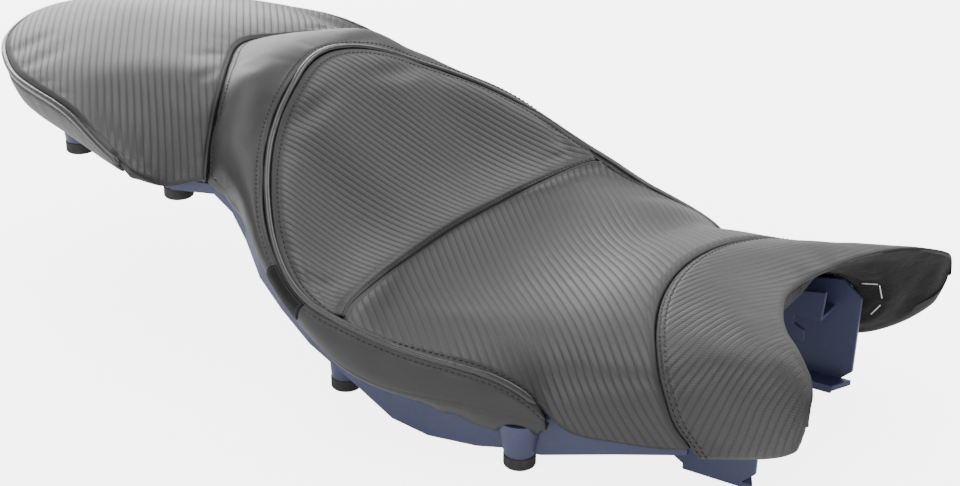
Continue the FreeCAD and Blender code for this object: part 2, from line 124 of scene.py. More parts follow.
def outer_faces(node, side=1, smallest=0.07):
    """The large faces of a CAD sheet that look away from the seat's inside (side 1) or
    towards it (side -1), from right to left. smallest is a share of the sheet's area."""
    co, tri, face = cad_faces(node)
    normal = np.cross(co[tri[:, 1]] - co[tri[:, 0]], co[tri[:, 2]] - co[tri[:, 0]])
    area = np.linalg.norm(normal, axis=1)
    centre = co[tri].mean(axis=1)
    facing = ((centre - inside(centre)) * normal).sum(axis=1) * side
    chosen = []
    for number in np.unique(face):
        members = face == number
        if area[members].sum() > smallest * area.sum() and facing[members].sum() > 0:
            chosen.append(tri[members])
    return co, sorted(chosen, key=lambda t: co[t][..., 1].mean())


def edge_loop(tri):
    """The longest loop of free edges, in order."""
    directed = set()
    for a, b, c in tri.tolist():
        directed |= {(a, b), (b, c), (c, a)}
    after = {a: b for a, b in directed if (b, a) not in directed}
    best = []
    while after:
        start, here = after.popitem()
        loop = [start]
        while here != start and here in after:
            loop.append(here)
            here = after.pop(here)
        if len(loop) > len(best):
            best = loop
    return best


def arc(points):
    """Distance along a line at each of its points."""
    steps = np.linalg.norm(np.diff(points, axis=0), axis=1)
    return np.concatenate([[0], np.cumsum(steps)])


def from_ends(points):
    """Distance along a line to the nearer of its two ends."""
    s = arc(points)
    return np.minimum(s, s[-1] - s)


def between(t, s, values):
    """Rows of values, known at the distances s, at the distances t."""
    return np.stack([np.interp(t, s, values[:, k]) for k in range(3)], axis=-1)


def resample(points, count):
    s = arc(points)
    return between(np.linspace(0, s[-1], count), s, points)


def sharpest(points, count, apart=4.0, reach=2.0):
    """Indices of the corners of a closed loop, those that turn most."""
    ring = np.vstack([points, points[:1]])
    s = arc(ring)
    total = s[-1]
    before = points - between((s[:-1] - reach) % total, s, ring)
    after = between((s[:-1] + reach) % total, s, ring) - points
    size = np.linalg.norm(before, axis=1) * np.linalg.norm(after, axis=1)
    turn = (before * after).sum(axis=1) / np.maximum(size, 1e-9)
    chosen = []
    for k in np.argsort(turn):
        gaps = [min(abs(s[k] - s[c]), total - abs(s[k] - s[c])) for c in chosen]
        if all(gap > apart for gap in gaps):
            chosen.append(int(k))
        if len(chosen) == count:
            break
    return sorted(chosen)


def between_corners(points, corners):
    """The pieces of a closed loop between its corners."""
    pieces = []
    for a, b in zip(corners, corners[1:] + [corners[0] + len(points)]):
        pieces.append(points[np.arange(a, b + 1) % len(points)])
    return pieces


# ---------------------------------------------------------------- grids
def flip(points):
    """Orders a rail from the right-hand front round the rear to the left-hand front."""
    if points[0, 1] * points[-1, 1] < 0:
        forward = points[0, 1] < points[-1, 1]
    else:
        forward = (points[-1, 0] - points[0, 0]) * points[:, 1].mean() > 0
    return points if forward else points[::-1]


def four_sides(co, tri, ahead):
    """The edges of a face with four corners: the long edge further along the vector
    ahead, the other long edge, and the two ends, all from right to left."""
    loop = co[edge_loop(tri)]
    pieces = between_corners(loop, sharpest(loop, 4))
    length = [arc(p)[-1] for p in pieces]
    if length[0] + length[2] < length[1] + length[3]:
        pieces = pieces[1:] + pieces[:1]
    rails = sorted(pieces[::2], key=lambda p: -(resample(p, 3)[1] @ np.array(ahead)))
    a, b = flip(rails[0]), flip(rails[1])
    ends = sorted(pieces[1::2], key=lambda p: np.linalg.norm(p - a[0], axis=1).min())
    ends = [p if np.linalg.norm(p[0] - q) < np.linalg.norm(p[-1] - q) else p[::-1]
            for p, q in zip(ends, (a[0], a[-1]))]
    return a, b, ends[0], ends[1]


def coons(a, b, right, left):
    """A grid between two rails and two ends."""
    rows, columns = len(right), len(a)
    u = np.linspace(0, 1, rows)[:, None, None]
    v = np.linspace(0, 1, columns)[None, :, None]
    ruled = (1 - u) * a[None] + u * b[None]
    across = (1 - v) * right[:, None] + v * left[:, None]
    corner = ((1 - u) * (1 - v) * a[0] + u * (1 - v) * b[0]
              + (1 - u) * v * a[-1] + u * v * b[-1])
    return ruled + across - corner


def neighbours(grid):
    """The mean of the four neighbours of every inner point."""
    return (grid[:-2, 1:-1] + grid[2:, 1:-1] + grid[1:-1, :-2] + grid[1:-1, 2:]) / 4


def smooth(grid, rounds):
    for _ in range(rounds):
        grid[1:-1, 1:-1] = (grid[1:-1, 1:-1] + neighbours(grid)) / 2
    return grid


def settle(grid, co, tri, rounds=6, spreads=4):
    """Drops a grid onto the sheet and spreads it evenly, by turns."""
    tree = surface_tree(co, tri)
    inner = grid[1:-1, 1:-1]
    for turn in range(rounds):
        if turn:
            for _ in range(spreads):
                inner[:] = neighbours(grid)
        dropped = [tree.find_nearest(p)[0] for p in inner.reshape(-1, 3)]
        inner[:] = np.array(dropped).reshape(inner.shape)
    return grid


def soften(grid, cells):
    """Rounds the two corners at the end of the rows."""
    for g in (grid[::-1], grid[::-1, ::-1]):
        a, corner, b = g[0, cells].copy(), g[0, 0].copy(), g[cells, 0].copy()
        for k in range(cells + 1):
            t = 0.5 - 0.5 * k / cells
            g[0, k] = (1 - t) ** 2 * a + 2 * t * (1 - t) * corner + t * t * b
            g[k, 0] = t * t * a + 2 * t * (1 - t) * corner + (1 - t) ** 2 * b


def sheet_grid(node, ahead, side=1, cell=CLOTH_CELL, soft=0):
    """An even grid on a CAD sheet: rows from its first rail to its second, columns from
    right to left. A sheet of several faces is joined into one grid. soft is the number
    of cells over which the corners at the second rail are rounded."""
    co, faces = outer_faces(node, side)
    parts = [four_sides(co, tri, ahead) for tri in faces]
    rails = [[], []]
    for part in parts:
        columns = int((arc(part[0])[-1] + arc(part[1])[-1]) / 2 / cell) + 1
        for rail, piece in zip(rails, part):
            rail.append(resample(piece, columns)[1 if rail else 0:])
    a, b = np.vstack(rails[0]), np.vstack(rails[1])
    middle = np.linalg.norm(a[len(a) // 2] - b[len(b) // 2])
    rows = max(int(1.05 * middle / cell), 7)
    right, left = resample(parts[0][2], rows), resample(parts[-1][3], rows)
    right[0], right[-1], left[0], left[-1] = a[0], b[0], a[-1], b[-1]
    grid = coons(a, b, right, left)
    if soft:
        soften(grid, soft)
    return smooth(settle(grid, co, np.vstack(faces)), 3)


def normals(grid):
    """Unit normals of a grid. In its corners, where two edges can run on almost in line,
    the normal is taken from further in."""
    n = np.cross(np.gradient(grid, axis=0), np.gradient(grid, axis=1))
    n /= np.maximum(np.linalg.norm(n, axis=2), 1e-9)[..., None]
    i, j = max(2, len(n) // 12), max(2, n.shape[1] // 24)
    n[:i, :j], n[:i, -j:] = n[i, j], n[i, -j - 1]
    n[-i:, :j], n[-i:, -j:] = n[-i - 1, j], n[-i - 1, -j - 1]
    for _ in range(i):
        n = neighbours(np.pad(n, ((1, 1), (1, 1), (0, 0)), mode="edge"))
    return n / np.linalg.norm(n, axis=2)[..., None]


def outward(grid, side=1):
    """1 or -1, so that normals(grid) times it points away from the seat's inside."""
    return side if ((grid - inside(grid)) * normals(grid)).sum() > 0 else -side


def along(grid, places, axis=0):
    """Cubic resampling of a grid at fractional places along one axis."""
    g = np.moveaxis(grid, axis, 0)
    last = len(g) - 1
    k = np.clip(np.floor(places).astype(int), 0, last - 1)
    t = (places - k).reshape((-1,) + (1,) * (g.ndim - 1))
    p1, p2 = g[k], g[k + 1]
    p0 = np.where((k > 0).reshape(t.shape), g[np.maximum(k - 1, 0)], 2 * p1 - p2)
    p3 = np.where((k < last - 1).reshape(t.shape), g[np.minimum(k + 2, last)], 2 * p2 - p1)
    out = 0.5 * (2 * p1 + (p2 - p0) * t + (2 * p0 - 5 * p1 + 4 * p2 - p3) * t ** 2
                 + (3 * p1 - p0 - 3 * p2 + p3) * t ** 3)
    return np.moveaxis(out, 0, axis)


def stations(length, fine, coarse, near=13.0):
    """Distances from 0 to length that are fine near both ends."""
    half = [0.0]
    while half[-1] < length / 2:
        half.append(half[-1] + fine + (coarse - fine) * min(half[-1] / near, 1) ** 1.3)
    half = np.array(half) * (length / 2) / half[-1]
    return np.concatenate([half, length - half[-2::-1]])


def refine(grids, coarse=2.6, fine=0.6, column_fine=None):
    """Finer grids from grids of the same size, the first of which is the surface."""
    grid = grids[0]
    lengths = np.linalg.norm(np.diff(grid, axis=0), axis=2).sum(axis=0)
    rows = stations(np.percentile(lengths, 70), fine, coarse)
    rows = rows / rows[-1] * (len(grid) - 1)
    widths = np.linalg.norm(np.diff(grid, axis=1), axis=2).sum(axis=1)
    columns = stations(widths.mean(), column_fine or coarse, coarse)
    columns = columns / columns[-1] * (grid.shape[1] - 1)
    return [along(along(g, rows), columns, 1) for g in grids]


def distances(grid):
    """Distance of every grid point to each of the four edges, by the edge's name."""
    down = np.linalg.norm(np.diff(grid, axis=0), axis=2)
    down = np.pad(np.cumsum(down, axis=0), ((1, 0), (0, 0)))
    over = np.linalg.norm(np.diff(grid, axis=1), axis=2)
    over = np.pad(np.cumsum(over, axis=1), ((0, 0), (1, 0)))
    return dict(zip(EDGES, (down, down[-1:] - down, over, over[:, -1:] - over)))


def mesh_object(name, points, faces):
    """A smooth-shaded mesh object from points in millimetres."""
    mesh = bpy.data.meshes.new(name)
    mesh.from_pydata((np.asarray(points).reshape(-1, 3) * MM).tolist(), [], faces)
    mesh.polygons.foreach_set("use_smooth", np.ones(len(mesh.polygons), bool))
    obj = bpy.data.objects.new(name, mesh)
    bpy.context.scene.collection.objects.link(obj)
    return obj


def grid_mesh(name, grid, uv=None, values=None):
    """A mesh object from a grid, with a pattern for the weave and values at its points."""
    rows, columns = grid.shape[:2]
    k = np.arange(rows * columns).reshape(rows, columns)
    quads = np.stack([k[:-1, :-1], k[1:, :-1], k[1:, 1:], k[:-1, 1:]], axis=2).reshape(-1, 4)
    if outward(grid) < 0:
        quads = quads[:, ::-1]
    obj = mesh_object(name, grid, quads.tolist())
    mesh = obj.data
    if uv is not None:
        layer = mesh.uv_layers.new(name="weave")
        index = read(mesh.loops, "vertex_index", 1, np.int32)[:, 0]
        layer.data.foreach_set("uv", uv.reshape(-1, 2)[index].astype(np.float32).ravel())
    for key, value in (values or {}).items():
        attribute = mesh.attributes.new(key, "FLOAT", "POINT")
        attribute.data.foreach_set("value", value.astype(np.float32).ravel())
    mesh.update()
    return obj


# ---------------------------------------------------------------- cloth
def unwrapped(grid):
    """A grid's points laid flat, in millimetres."""
    obj = grid_mesh("pattern", grid, uv=np.zeros(grid.shape[:2] + (2,)))
    for other in bpy.context.selected_objects:
        other.select_set(False)
    obj.select_set(True)
    bpy.context.view_layer.objects.active = obj
    bpy.ops.object.mode_set(mode="EDIT")
    bpy.ops.mesh.select_all(action="SELECT")
    bpy.ops.uv.unwrap(method="ANGLE_BASED", margin=0.0)
    bpy.ops.object.mode_set(mode="OBJECT")
    mesh = obj.data
    index = read(mesh.loops, "vertex_index", 1, np.int32)[:, 0]
    uv = np.zeros((len(mesh.vertices), 2))
    uv[index] = read(mesh.uv_layers["weave"].data, "uv", 2)
    uv = uv.reshape(grid.shape[:2] + (2,))
    bpy.data.objects.remove(obj)
    true = np.linalg.norm(np.diff(grid, axis=1), axis=2).sum()
    return uv * true / np.linalg.norm(np.diff(uv, axis=1), axis=2).sum()


def flat_pattern(full, rib_angle, step=3):
    """Lays the sheet flat, as it was cut from the roll, and turns it so that the ribs,
    which run at rib_angle to the seat's length, follow the first axis."""
    if rib_angle is None:
        return np.zeros(full.shape[:2] + (2,))
    rows = np.linspace(0, full.shape[0] - 1, max(full.shape[0] // step, 5))
    columns = np.linspace(0, full.shape[1] - 1, max(full.shape[1] // step, 5))
    grid = along(along(full, rows), columns, 1)
    uv = unwrapped(grid)
    i, j = grid.shape[0] // 2, grid.shape[1] // 2
    steps = np.stack([grid[i + 1, j] - grid[i - 1, j], grid[i, j + 1] - grid[i, j - 1]])
    flat_steps = np.stack([uv[i + 1, j] - uv[i - 1, j], uv[i, j + 1] - uv[i, j - 1]])
    wanted = np.array([math.cos(rib_angle), math.sin(rib_angle)])
    rib = np.linalg.solve(steps[:, :2].T, wanted) @ flat_steps
    rib /= np.linalg.norm(rib)
    cross = np.array([-rib[1], rib[0]])
    uv = np.stack([uv @ rib, uv @ cross], axis=2)
    back_rows = np.interp(np.arange(full.shape[0]), rows, np.arange(len(rows)))
    back_columns = np.interp(np.arange(full.shape[1]), columns, np.arange(len(columns)))
    return along(along(uv, back_rows), back_columns, 1)


def sewn(grid, puff):
    """The cover filled by its foam: cloth held along its seams, slightly generous, under
    pressure. No point moves further than puff."""
    obj = grid_mesh("cloth", grid)
    pins = obj.vertex_groups.new(name="pins")
    k = np.arange(grid.shape[0] * grid.shape[1]).reshape(grid.shape[:2])
    border = np.concatenate([k[0], k[-1], k[:, 0], k[:, -1]])
    pins.add([int(i) for i in np.unique(border)], 1.0, "REPLACE")
    cloth = obj.modifiers.new("cloth", "CLOTH")
    settings = cloth.settings
    settings.quality = 6
    settings.mass = 0.002
    settings.tension_stiffness = 12.0
    settings.compression_stiffness = 12.0
    settings.shear_stiffness = 6.0
    settings.bending_stiffness = 3.0
    settings.air_damping = 2.0
    settings.use_pressure = True
    settings.uniform_pressure_force = 4.0
    settings.effector_weights.gravity = 0.0
    settings.vertex_group_mass = "pins"
    settings.shrink_min = -GROWTH
    cloth.point_cache.frame_start = 1
    cloth.point_cache.frame_end = CLOTH_FRAMES
    for number in range(1, CLOTH_FRAMES + 1):
        bpy.context.scene.frame_set(number)
    shape = obj.evaluated_get(bpy.context.evaluated_depsgraph_get()).to_mesh()
    co = read(shape.vertices, "co", 3)
    moved = smooth(co.reshape(grid.shape).astype(float) / MM - grid, 2)
    bpy.data.objects.remove(obj)
    bpy.context.scene.frame_set(1)
    size = np.linalg.norm(moved, axis=2)
    held = puff * np.tanh(size / puff)
    return grid + moved * (held / np.maximum(size, 1e-9))[..., None]


# ---------------------------------------------------------------- edges of the panels
# How a sheet turns in beyond an edge, row by row: (outwards, along the normal).
SEAM = [(0.8, -0.4), (1.3, -1.4), (1.7, -4.0), (2.0, -6.5)]
ALLOWANCE = [(0.8, 0.2), (2.8, -0.6), (6.5, -2.2), (10.0, -6.0)]
BESIDE_CORD = [(1.0, -0.1), (2.4, -0.6), (3.8, -2.0), (4.2, -5.5)]
FLANGE = [(1.6, 0.0), (3.0, -0.4), (3.6, -1.4), (3.8, -4.0)]
HEM = [(0.5, -0.9), (0.2, -2.4), (-1.6, -4.6), (-5.0, -5.8)]
TUCK = [(4.5, -1.0), (10.5, -3.0), (17.0, -6.0), (16.0, -11.0)]
OPEN = [(0.4, -0.5), (0.5, -1.4), (0.1, -2.3), (-1.6, -2.9)]
RAW = [(0.25, -0.25), (0.25, -0.7)]


def as_first(array, edge):
    """The array turned so that the given edge is its row 0."""
    if edge in ("right", "left"):
        array = array.swapaxes(0, 1)
    return array[::-1] if edge in ("second", "left") else array


def turned(grid, edges, sign):
    """The grid with rows added beyond its edges, and how many on each side. Towards the
    ends of an edge its rows are drawn in, so that they don't cross the next edge's."""
    extra = {edge: len(edges[edge][0]) if edge in edges else 0 for edge in EDGES}
    pads = ((extra["first"], extra["second"]), (extra["right"], extra["left"]))
    n = normals(grid) * sign
    moved = np.pad(np.zeros(grid.shape), pads + ((0, 0),))
    sunk = np.zeros(moved.shape[:2])
    for edge, (profile, _, _, *changes) in edges.items():
        g, m = as_first(grid, edge), as_first(n, edge)
        rows = np.array(profile)[:, :, None] + np.zeros(len(g[0]))
        for other, share in changes:
            rows += (np.array(other)[:, :, None] - rows) * share(g[0])
        away = g[0] - g[min(3, len(g) - 1)]
        away -= (away * m[0]).sum(axis=1)[:, None] * m[0]
        away /= np.maximum(np.linalg.norm(away, axis=1), 1e-9)[:, None]
        side = pads[1] if edge in ("first", "second") else pads[0]
        away = np.pad(away, (side, (0, 0)), mode="edge")
        far = from_ends(g[0])
        inwards = np.pad(np.clip((far - 4) / 20, 0, 1), side, mode="edge")
        outwards = np.pad(np.clip(far / 8, 0.2, 1), side, mode="edge")
        rows = np.pad(rows, ((0, 0), (0, 0), side), mode="edge")
        for k, (out, down) in enumerate(rows[::-1]):
            out = out * np.where(out < 0, inwards, outwards)
            as_first(moved, edge)[k] += away * out[:, None]
            line = as_first(sunk, edge)[k]
            np.minimum(line, down, out=line)
    grid = np.pad(grid, pads + ((0, 0),), mode="edge")
    n = np.pad(n, pads + ((0, 0),), mode="edge")
    return grid + moved + n * sunk[..., None], pads


def distance_to(node, grid):
    """Distance of every grid point to a CAD piece."""
    co, tri, _ = cad_faces(node)
    tree = surface_tree(co, tri)
    far = [tree.find_nearest(p)[3] for p in grid.reshape(-1, 3)]
    return np.array(far).reshape(grid.shape[:-1])


def near_line(points, name, full, none):
    """1 within full millimetres of a kept line, 0 beyond none."""
    tree = point_tree(LINES[name][0])
    far = np.array([tree.find(p)[2] for p in points])
    return np.clip((none - far) / (none - full), 0, 1)


def near_step(points):
    return near_line(points, "step_pillion", 7, 14)


def above_pan(points):
    """Where the foam stands clear of the pan's rim, the cover is pulled down to it."""
    return np.clip((distance_to("seat_pan", points) - 2.5) / 5, 0, 1)


def past_cord(points, fade=12):
    """The welt's cord ends before the nose; from there the panel is hemmed."""
    return np.clip((points[:, 0] - CORD_END_X) / fade + 1, 0, 1)


def at_corner(points):
    """The hem of the nose's sides grows shallower towards the front corner."""
    return np.clip((30 - arc(points)[-1] + arc(points)) / 20, 0, 1)


def at_ends(points):
    """Near its two ends the rim's allowance turns under like a hem."""
    return np.clip((14 - from_ends(points)) / 8, 0, 1)


# ---------------------------------------------------------------- shapes between the edges
def wander(grid, size, seed):
    """Smooth noise over a grid."""
    values = [perlin(Vector((p[0] + seed, p[1], p[2]))) for p in grid.reshape(-1, 3) / size]
    return np.array(values).reshape(grid.shape[:2])


def folded_band(grid, d):
    """The allowance folded under the rear panel stands up along the crossing seam."""
    return 0.75 / (1 + np.exp((d["first"] - 6.5) / 0.7))


def pull_folds(grid, d):
    """Where the bolster is pulled down round the waist and under the pan."""
    x, y, z = grid[..., 0], np.abs(grid[..., 1]), grid[..., 2]
    low = np.exp(-((d["second"] - 4) / 16) ** 2)
    waist = np.exp(-((x - WAIST_X) / 34) ** 2) * (y > 95)
    pleat = np.sin((x - 0.55 * z) / 4.6 + 0.7 * np.sin(x / 17))
    flank = np.exp(-((x - FLANK_X) / 60) ** 2)
    soft = np.sin((x + 0.9 * z) / 9.5)
    return (0.75 * waist * pleat + 0.4 * flank * soft) * low


def felt_relief(grid, d):
    """The foam behind shows through the felt, and every staple pulls it in."""
    pulled = np.exp(-(np.maximum(distance_to("nose_staples", grid) - 0.8, 0) / 2.6) ** 2)
    lumps = 0.7 * wander(grid, 16.0, 3.0) + 0.3 * wander(grid, 5.0, 9.0)
    return lumps * (1 - pulled) - 0.9 * pulled


def felt_sheet(nose, inset=2.3, cell=4.0, rounds=14, clear=2.5):
    """The felt from the pan's arch out to the turned edge of the nose panel. nose is the
    panel's own grid; the felt's edge lies inset under it. Points that fall clear of the
    lining's edge rest on it, and those between it and the nose panel hang free."""
    co, faces = outer_faces("nose_lining", -1)
    arch = four_sides(co, faces[0], REARWARD)[0]
    under = nose - normals(nose) * outward(nose) * inset
    outer, right, left = under[-1], under[:, 0], under[:, -1]
    rows, columns = int(arc(right)[-1] / 2 / cell) + 6, int(arc(outer)[-1] / cell)
    inner = resample(np.vstack([right[:1], arch, left[:1]]), columns)
    grid = coons(inner, resample(outer, columns), resample(right, rows), resample(left, rows))
    rim = point_tree(co[edge_loop(faces[0])])
    tree = surface_tree(co, faces[0])
    for _ in range(rounds):
        grid[1:-1, 1:-1] = neighbours(grid)
        for i in range(1, rows - 1):
            for j in range(1, columns - 1):
                hit = tree.find_nearest(grid[i, j])[0]
                if rim.find(hit)[2] > clear:
                    grid[i, j] = hit
    return smooth(grid, 4)


def keep_line(name, grid, up, rail, offset):
    """Keeps the line that runs at offset from a rail, with the normals along it."""
    d = distances(grid)[rail]
    if rail in ("right", "left"):
        grid, d, up = grid.swapaxes(0, 1), d.T, up.swapaxes(0, 1)
    points, ups = [], []
    for j in range(grid.shape[1]):
        order = np.argsort(d[:, j])
        x = d[order, j]
        if x[-1] >= offset:
            points.append(between(offset, x, grid[order, j]))
            ups.append(between(offset, x, up[order, j]))
    LINES[name] = (np.array(points), np.array(ups))


def trim(name, keep):
    points, ups = LINES[name]
    LINES[name] = (points[keep], ups[keep])


def cover(name, node, ahead, edges, rib=None, lines=(), shape=None, sheet=None, side=1,
          cell=CLOTH_CELL, coarse=2.6, column_fine=None, puff=PUFF, calm=None,
          flat_near=None):
    """A sewn panel: CAD sheet, cloth, rolled and turned edges, pattern for the weave.
    edges maps each side to (profile, depth, width of the roll); where the profile
    changes along the side, (other profile, its share at each point) follows. rib is the
    ribs' angle to the seat's length, in degrees. The weave is pressed flat within calm
    of a side, and in the carbon vinyl that band is painted dark as painted shade; the
    panel lies flat near the piece flat_near. lines are kept for the stitches, as (name,
    side, distance from it). shape adds its own relief."""
    flat = sheet_grid(node, ahead, side, cell) if sheet is None else sheet
    pattern = flat_pattern(flat, None if rib is None else math.radians(rib))
    grid, pattern, flat = refine([sewn(flat, puff), pattern, flat], coarse,
                                 column_fine=column_fine)
    sign = outward(grid, side)
    d = distances(grid)
    offset = np.zeros(grid.shape[:2])
    for edge, (_, depth, width, *_) in edges.items():
        offset -= depth * np.clip(1 - d[edge] / width, 0, 1) ** 2
    for _, rail, distance in lines:
        if distance > 1:
            offset -= GROOVE * np.exp(-((d[rail] - distance) / GROOVE_WIDTH) ** 2)
    if shape is not None:
        offset += shape(grid, d)
    grid = grid + normals(grid) * (sign * offset)[..., None]
    if flat_near:
        free = np.clip(distance_to(flat_near, flat) / 14, 0, 1)[..., None]
        grid = flat + (grid - flat) * free * free * (3 - 2 * free)
    for line_name, rail, distance in lines:
        keep_line(line_name, grid, normals(grid) * sign, rail, distance)
    # plain is 0 at the edges: the carbon vinyl presses its weave flat there and paints that band
    # dark as painted shade; the tag draws its border line by it.
    plain = np.minimum.reduce([d[edge] / (calm or {}).get(edge, 5.0) for edge in edges])
    grid, pads = turned(grid, edges, sign)
    pattern = np.pad(pattern, pads + ((0, 0),), mode="edge")
    plain = np.pad(plain, pads, mode="edge")
    return stand_for(node, grid_mesh(name, grid, pattern, {"plain": np.clip(plain, 0, 1)}))


# ---------------------------------------------------------------- materials
class Graph:
    """Short names for building node trees."""

    def __init__(self, name):
        self.material = bpy.data.materials.new(name)
        self.material.use_nodes = True
        self.tree = self.material.node_tree
        self.shader = self.tree.nodes["Principled BSDF"]

    def node(self, kind, inputs=None, **settings):
        n = self.tree.nodes.new(kind)
        for key, value in settings.items():
            setattr(n, key, value)
        for key, value in (inputs or {}).items():
            self.put(n.inputs[key], value)
        return n

    def put(self, socket, value):
        if isinstance(value, bpy.types.NodeSocket):
            self.tree.links.new(value, socket)
        else:
            socket.default_value = value

    def math(self, operation, a, b=0.0):
        return self.node("ShaderNodeMath", {0: a, 1: b}, operation=operation).outputs[0]

    def wave(self, value):
        """Round ridges, one for each unit of the value."""
        return self.math("ABSOLUTE", self.math("SINE", self.math("MULTIPLY", value, math.pi)))

    def mix(self, share, a, b):
        n = self.node("ShaderNodeMix", data_type="RGBA")
        self.put(n.inputs["Factor"], share)
        self.put(n.inputs["A"], a)
        self.put(n.inputs["B"], b)
        return n.outputs["Result"]

    def ramp(self, value, low, high, a=0.0, b=1.0):
        n = self.node("ShaderNodeMapRange", {"Value": value, "From Min": low,
                                             "From Max": high, "To Min": a, "To Max": b})
        return n.outputs["Result"]

    def noise(self, scale, detail=2.0, rough=0.5):
        inputs = {"Scale": scale, "Detail": detail, "Roughness": rough,
                  "Vector": self.place()}
        return self.node("ShaderNodeTexNoise", inputs).outputs["Fac"]

    def cells(self, scale, feature="F1"):
        inputs = {"Scale": scale, "Vector": self.place()}
        return self.node("ShaderNodeTexVoronoi", inputs, feature=feature).outputs["Distance"]

    def place(self):
        return self.node("ShaderNodeTexCoord").outputs["Object"]

    def pattern(self):
        """Place on the flat pattern, in millimetres: along the ribs, across them."""
        uv = self.node("ShaderNodeUVMap", uv_map="weave").outputs["UV"]
        parts = self.node("ShaderNodeSeparateXYZ", {0: uv}).outputs
        return parts["X"], parts["Y"]

    def plain(self):
        """0 at a panel's edges, 1 away from them."""
        return self.node("ShaderNodeAttribute", attribute_name="plain").outputs["Fac"]

    def rounded(self, radius, samples=4):
        """Normals that round every arris by a radius in metres."""
        return self.node("ShaderNodeBevel", {"Radius": radius}, samples=samples).outputs["Normal"]

    def bump(self, height, distance, strength=1.0, under=None):
        inputs = {"Height": height, "Distance": distance, "Strength": strength}
        if under is not None:
            inputs["Normal"] = under
        return self.node("ShaderNodeBump", inputs).outputs["Normal"]

    def set(self, **inputs):
        for key, value in inputs.items():
            self.put(self.shader.inputs[key.replace("_", " ")], value)
        return self.material


def grey(value, tint=(1.0, 1.0, 1.0)):
    return tuple(value * t for t in tint) + (1.0,)


def carbon_vinyl():
    """Embossed carbon-look vinyl: round ribs of slanted strands; painted shade in the grooves and
    along the seams.
    """
    g = Graph("carbon_vinyl")
    lengthwise, crosswise = g.pattern()
    across = g.math("DIVIDE", crosswise, RIB)
    row = g.math("FLOOR", across)
    share = g.math("FRACT", across)
    ridge = g.math("SINE", g.math("MULTIPLY", share, math.pi))
    ridge = g.math("POWER", g.math("MAXIMUM", ridge, 0.0), 0.55)
    slant = g.math("ADD", g.math("DIVIDE", lengthwise, STRAND),
                   g.math("MULTIPLY", share, 1.25))
    slant = g.math("ADD", slant, g.math("MULTIPLY", row, 0.5))
    strand = g.math("POWER", g.wave(slant), 0.6)
    # Near a panel's edges the weave is pressed flat, and through the groove colour that band is
    # painted dark: painted shade where the cover rolls into its seam.
    press_and_seam_shade = g.ramp(g.plain(), 0.25, 1.0, 0.12, 1.0)
    weave = g.math("MULTIPLY", ridge, g.math("ADD", g.math("MULTIPLY", strand, 0.24), 0.76))
    weave = g.math("MULTIPLY", weave, press_and_seam_shade)
    grain = g.noise(2600.0, 3.0)
    worn = g.noise(7.0, 4.0, 0.6)
    normal = g.bump(weave, 0.00042, 0.9)
    normal = g.bump(grain, 0.00003, 0.6, normal)
    # The grooves and the pressed band take the dark colour as painted shade; they are also
    # rougher.
    groove_and_seam_shade = g.math("SUBTRACT", 1.0, weave)
    colour = g.mix(g.ramp(groove_and_seam_shade, 0.1, 0.9), grey(0.022, (1.0, 1.0, 1.02)), grey(0.006))
    rough = g.math("ADD", g.ramp(worn, 0.35, 0.7, 0.36, 0.46), g.math("MULTIPLY", groove_and_seam_shade, 0.16))
    return g.set(Base_Color=colour, Roughness=rough, Normal=normal, Specular_IOR_Level=0.62,
                 Sheen_Weight=0.12, Sheen_Roughness=0.45)


def plain_vinyl(name="plain_vinyl", base=0.012, rough=0.40, grain=0.00008, coat=0.0):
    """Smooth upholstery vinyl with a fine leather grain."""
    g = Graph(name)
    pores = g.cells(900.0, "DISTANCE_TO_EDGE")
    fine = g.noise(1700.0, 3.0)
    folds = g.noise(34.0, 3.0, 0.55)
    worn = g.noise(6.0, 4.0, 0.6)
    normal = g.bump(g.ramp(pores, 0.0, 0.3), grain, 0.55)
    normal = g.bump(fine, grain * 0.6, 0.5, normal)
    normal = g.bump(folds, 0.0011, 0.35, normal)
    colour = g.mix(g.ramp(worn, 0.3, 0.7), grey(base), grey(base * 1.6))
    return g.set(Base_Color=colour, Roughness=g.ramp(worn, 0.3, 0.7, rough, rough + 0.08),
                 Normal=normal, Specular_IOR_Level=0.55, Coat_Weight=coat,
                 Coat_Roughness=0.25)


def lining_felt():
    """Black needled felt with a little pale lint."""
    g = Graph("lining_felt")
    fuzz = g.noise(1500.0, 6.0, 0.75)
    tufts = g.cells(620.0)
    patches = g.noise(42.0, 4.0, 0.6)
    lint = g.ramp(g.noise(420.0, 5.0, 0.8), 0.68, 0.74)
    normal = g.bump(fuzz, 0.0006, 0.9)
    normal = g.bump(tufts, 0.0004, 0.6, normal)
    colour = g.mix(g.ramp(patches, 0.3, 0.7), grey(0.006), grey(0.013))
    colour = g.mix(g.math("MULTIPLY", lint, 0.5), colour, grey(0.06))
    return g.set(Base_Color=colour, Roughness=0.95, Normal=normal, Sheen_Weight=0.16,
                 Sheen_Roughness=0.6, Specular_IOR_Level=0.15)


def seat_foam():
    """Grey open-cell foam, yellowed in patches."""
    g = Graph("seat_foam")
    cell = g.cells(520.0)
    soft = g.noise(60.0, 4.0)
    normal = g.bump(cell, 0.0007, 0.9)
    colour = g.mix(g.ramp(cell, 0.1, 0.7), (0.055, 0.053, 0.05, 1), (0.17, 0.165, 0.155, 1))
    colour = g.mix(g.ramp(soft, 0.35, 0.7, 0, 0.35), colour, (0.2, 0.18, 0.14, 1))
    return g.set(Base_Color=colour, Roughness=0.95, Normal=normal)


